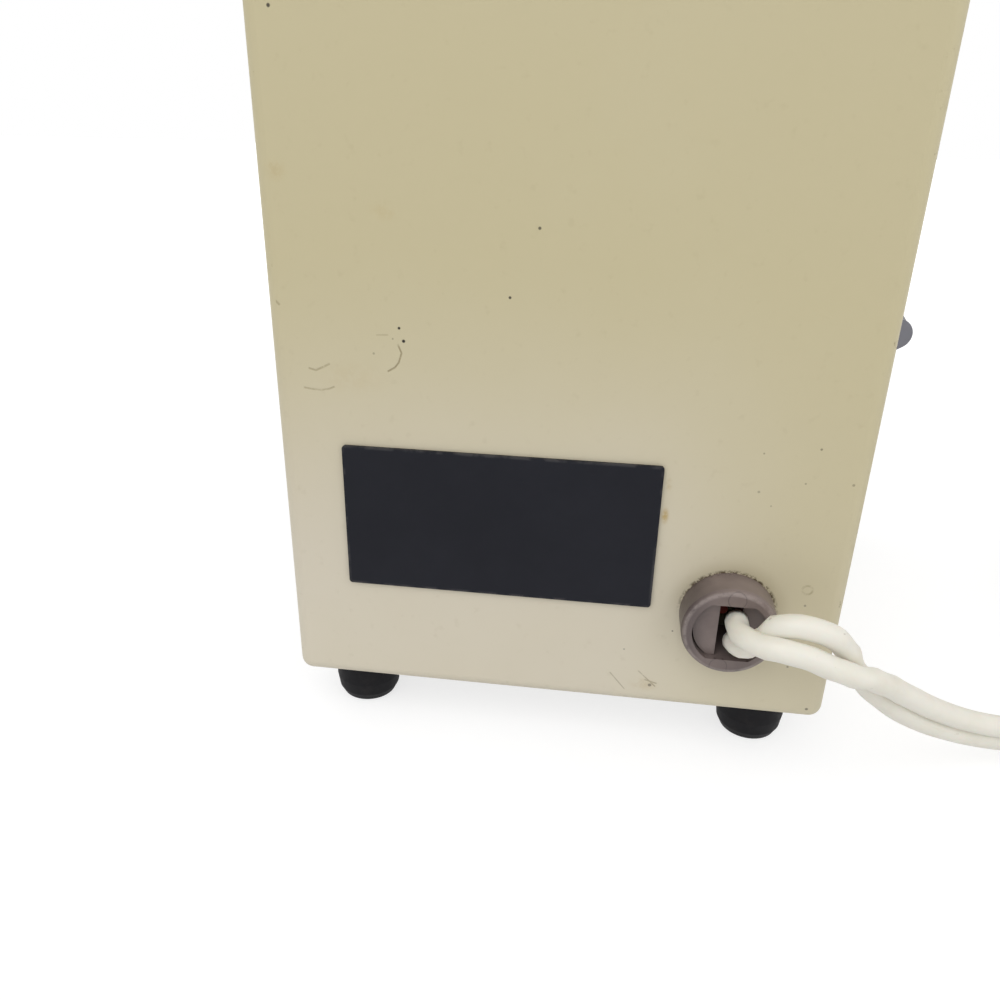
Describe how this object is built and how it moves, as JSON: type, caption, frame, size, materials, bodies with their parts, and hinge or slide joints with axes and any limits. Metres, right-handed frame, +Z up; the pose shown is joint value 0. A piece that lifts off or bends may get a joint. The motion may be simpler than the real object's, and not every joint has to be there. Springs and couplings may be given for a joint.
{
  "type": "film editor viewer",
  "caption": "Desktop film editor viewer: sheet-metal casing with a hooded screen, film gate, folding rewind arms and a mains lead.",
  "frame": {"origin": "on the table under the middle of the casing's footprint, at the rubber feet's underside", "axes": "+Z up; the screen and film gate face -Y; +X is to the user's right as they face the screen; the cord leaves the back at -X"},
  "size_m": [0.3501, 0.1611, 0.1639],
  "materials": {
    "casing_paint": "warm beige enamel, fine orange peel",
    "panel_paint": "grey-beige enamel",
    "base_steel": "zinc plated",
    "hood_paint": "black wrinkle enamel",
    "rubber_black": "dull",
    "plated_screw": "zinc plated",
    "plate_black": "black satin, left bare",
    "relief_plastic": "mauve grey",
    "cord_white": "white, satin",
    "plug_white": "white",
    "blade_brass": "satin",
    "core_iron": "laminated, varnished",
    "winding_tape": "varnished tape",
    "mirror_glass": "front silvered",
    "screen_glass": "ground one side",
    "clear_glass": "polished",
    "wire_pvc": "insulated wire",
    "bulb_glass": "clear bulb, plated cap",
    "reflector_alu": "polished",
    "switch_black": "black",
    "track_chrome": "polished",
    "pin_steel": "turned",
    "hinge_plate": "plated",
    "head_alu": "cast, satin",
    "knob_black": "black",
    "barrel_alu": "turned",
    "button_red": "red",
    "arm_grey": "grey enamel",
    "gear_steel": "cut teeth",
    "crank_steel": "plated",
    "handle_grey": "dark grey"
  },
  "bodies": {
    "root": {"rear_casing": "casing_paint", "front_panel": "panel_paint", "base_plate": "base_steel", "mirror_bracket": "base_steel", "transformer_strap": "base_steel", "turning_mirror_holder": "base_steel", "lamp_socket": "base_steel", "screen_hood": "hood_paint", "rubber_feet": "rubber_black", "foot_screws": "plated_screw", "strap_screws": "plated_screw", "nameplate": "plate_black", "strain_relief": "relief_plastic", "strain_relief_wedges": "relief_plastic", "power_cord_lead": "cord_white", "power_cord_coil": "cord_white", "mains_plug": "plug_white", "plug_blades": "blade_brass", "transformer_core": "core_iron", "transformer_coil": "winding_tape", "main_mirror": "mirror_glass", "turning_mirror": "mirror_glass", "screen_glass": "screen_glass", "condenser_lens": "clear_glass", "lead_wires": "wire_pvc", "lamp_bulb": "bulb_glass", "lamp_reflector": "reflector_alu", "condenser_ring": "reflector_alu", "switch_body": "switch_black", "film_track": "track_chrome", "roller_pins": "track_chrome", "gate_hinge_pin": "pin_steel", "arm_pivot_pins": "pin_steel", "gate_hinge_bracket": "hinge_plate", "marker_guide": "hinge_plate", "marker_spring": "hinge_plate", "arm_hinge_blocks": "arm_grey"},
    "switch_rocker_body": {"switch_rocker": "switch_black"},
    "left_roller_body": {"left_roller": "track_chrome"},
    "right_roller_body": {"right_roller": "track_chrome"},
    "gate": {"gate_head": "head_alu"},
    "rotor": {"film_sprocket": "pin_steel", "image_prism": "clear_glass", "advance_knob": "knob_black"},
    "lens": {"lens_barrel": "barrel_alu", "lens_glass": "clear_glass", "focus_ring": "knob_black"},
    "marker": {"marker_button": "button_red"},
    "left_arm_body": {"left_arm": "arm_grey", "left_gear_cover": "arm_grey"},
    "left_crank_body": {"left_crank_gear": "gear_steel", "left_crank": "crank_steel"},
    "left_spindle_body": {"left_spindle": "gear_steel"},
    "left_handle_body": {"left_crank_handle": "handle_grey"},
    "right_arm_body": {"right_arm": "arm_grey", "right_gear_cover": "arm_grey"},
    "right_crank_body": {"right_crank_gear": "gear_steel", "right_crank": "crank_steel"},
    "right_spindle_body": {"right_spindle": "gear_steel"},
    "right_handle_body": {"right_crank_handle": "handle_grey"}
  },
  "joints": [
    {"name": "switch_rock", "type": "hinge", "parent": "root", "child": "switch_rocker_body", "pos_m": [-0.02, -0.0542, 0.03], "axis": [1, 0, 0], "range_deg": [-8, 8]},
    {"name": "left_roller_spin", "type": "hinge", "parent": "root", "child": "left_roller_body", "pos_m": [-0.04, -0.045, 0.0532], "axis": [0, 1, 0], "continuous": true},
    {"name": "right_roller_spin", "type": "hinge", "parent": "root", "child": "right_roller_body", "pos_m": [0.04, -0.045, 0.0532], "axis": [0, 1, 0], "continuous": true},
    {"name": "gate_open", "type": "hinge", "parent": "root", "child": "gate", "pos_m": [0, -0.031, 0.0635], "axis": [-1, 0, 0], "range_deg": [0, 30]},
    {"name": "sprocket_spin", "type": "hinge", "parent": "gate", "child": "rotor", "pos_m": [0, -0.048, 0.05628], "axis": [0, 1, 0], "continuous": true},
    {"name": "lens_focus", "type": "slide", "parent": "gate", "child": "lens", "axis": [0, 0, 1], "range_m": [-0.0006, 0.0008]},
    {"name": "marker_press", "type": "slide", "parent": "root", "child": "marker", "axis": [0, 0, -1], "range_m": [0, 0.0024], "stiffness_N_per_m": 300, "springref_m": -0.0015, "deforming": ["marker_spring"]},
    {"name": "left_arm_fold", "type": "hinge", "parent": "root", "child": "left_arm_body", "pos_m": [-0.06, -0.057, 0.118], "axis": [0, 1, 0], "range_deg": [0, 90]},
    {"name": "left_crank_turn", "type": "hinge", "parent": "left_arm_body", "child": "left_crank_body", "pos_m": [-0.06, -0.062, 0.0408], "axis": [0, 1, 0], "continuous": true},
    {"name": "left_spindle_spin", "type": "hinge", "parent": "left_arm_body", "child": "left_spindle_body", "pos_m": [-0.06, -0.055, 0.024], "axis": [0, 1, 0], "continuous": true},
    {"name": "left_handle_spin", "type": "hinge", "parent": "left_crank_body", "child": "left_handle_body", "pos_m": [-0.08711, -0.077, 0.05583], "axis": [0, 1, 0], "continuous": true},
    {"name": "right_arm_fold", "type": "hinge", "parent": "root", "child": "right_arm_body", "pos_m": [0.06, -0.057, 0.118], "axis": [0, -1, 0], "range_deg": [0, 90]},
    {"name": "right_crank_turn", "type": "hinge", "parent": "right_arm_body", "child": "right_crank_body", "pos_m": [0.06, -0.062, 0.0408], "axis": [0, 1, 0], "continuous": true},
    {"name": "right_spindle_spin", "type": "hinge", "parent": "right_arm_body", "child": "right_spindle_body", "pos_m": [0.06, -0.055, 0.024], "axis": [0, 1, 0], "continuous": true},
    {"name": "right_handle_spin", "type": "hinge", "parent": "right_crank_body", "child": "right_handle_body", "pos_m": [0.08711, -0.077, 0.05583], "axis": [0, 1, 0], "continuous": true}
  ],
  "couplings": [
    {"joint": "left_spindle_spin", "follows": "left_crank_turn", "ratio": -3},
    {"joint": "right_spindle_spin", "follows": "right_crank_turn", "ratio": -3}
  ]
}
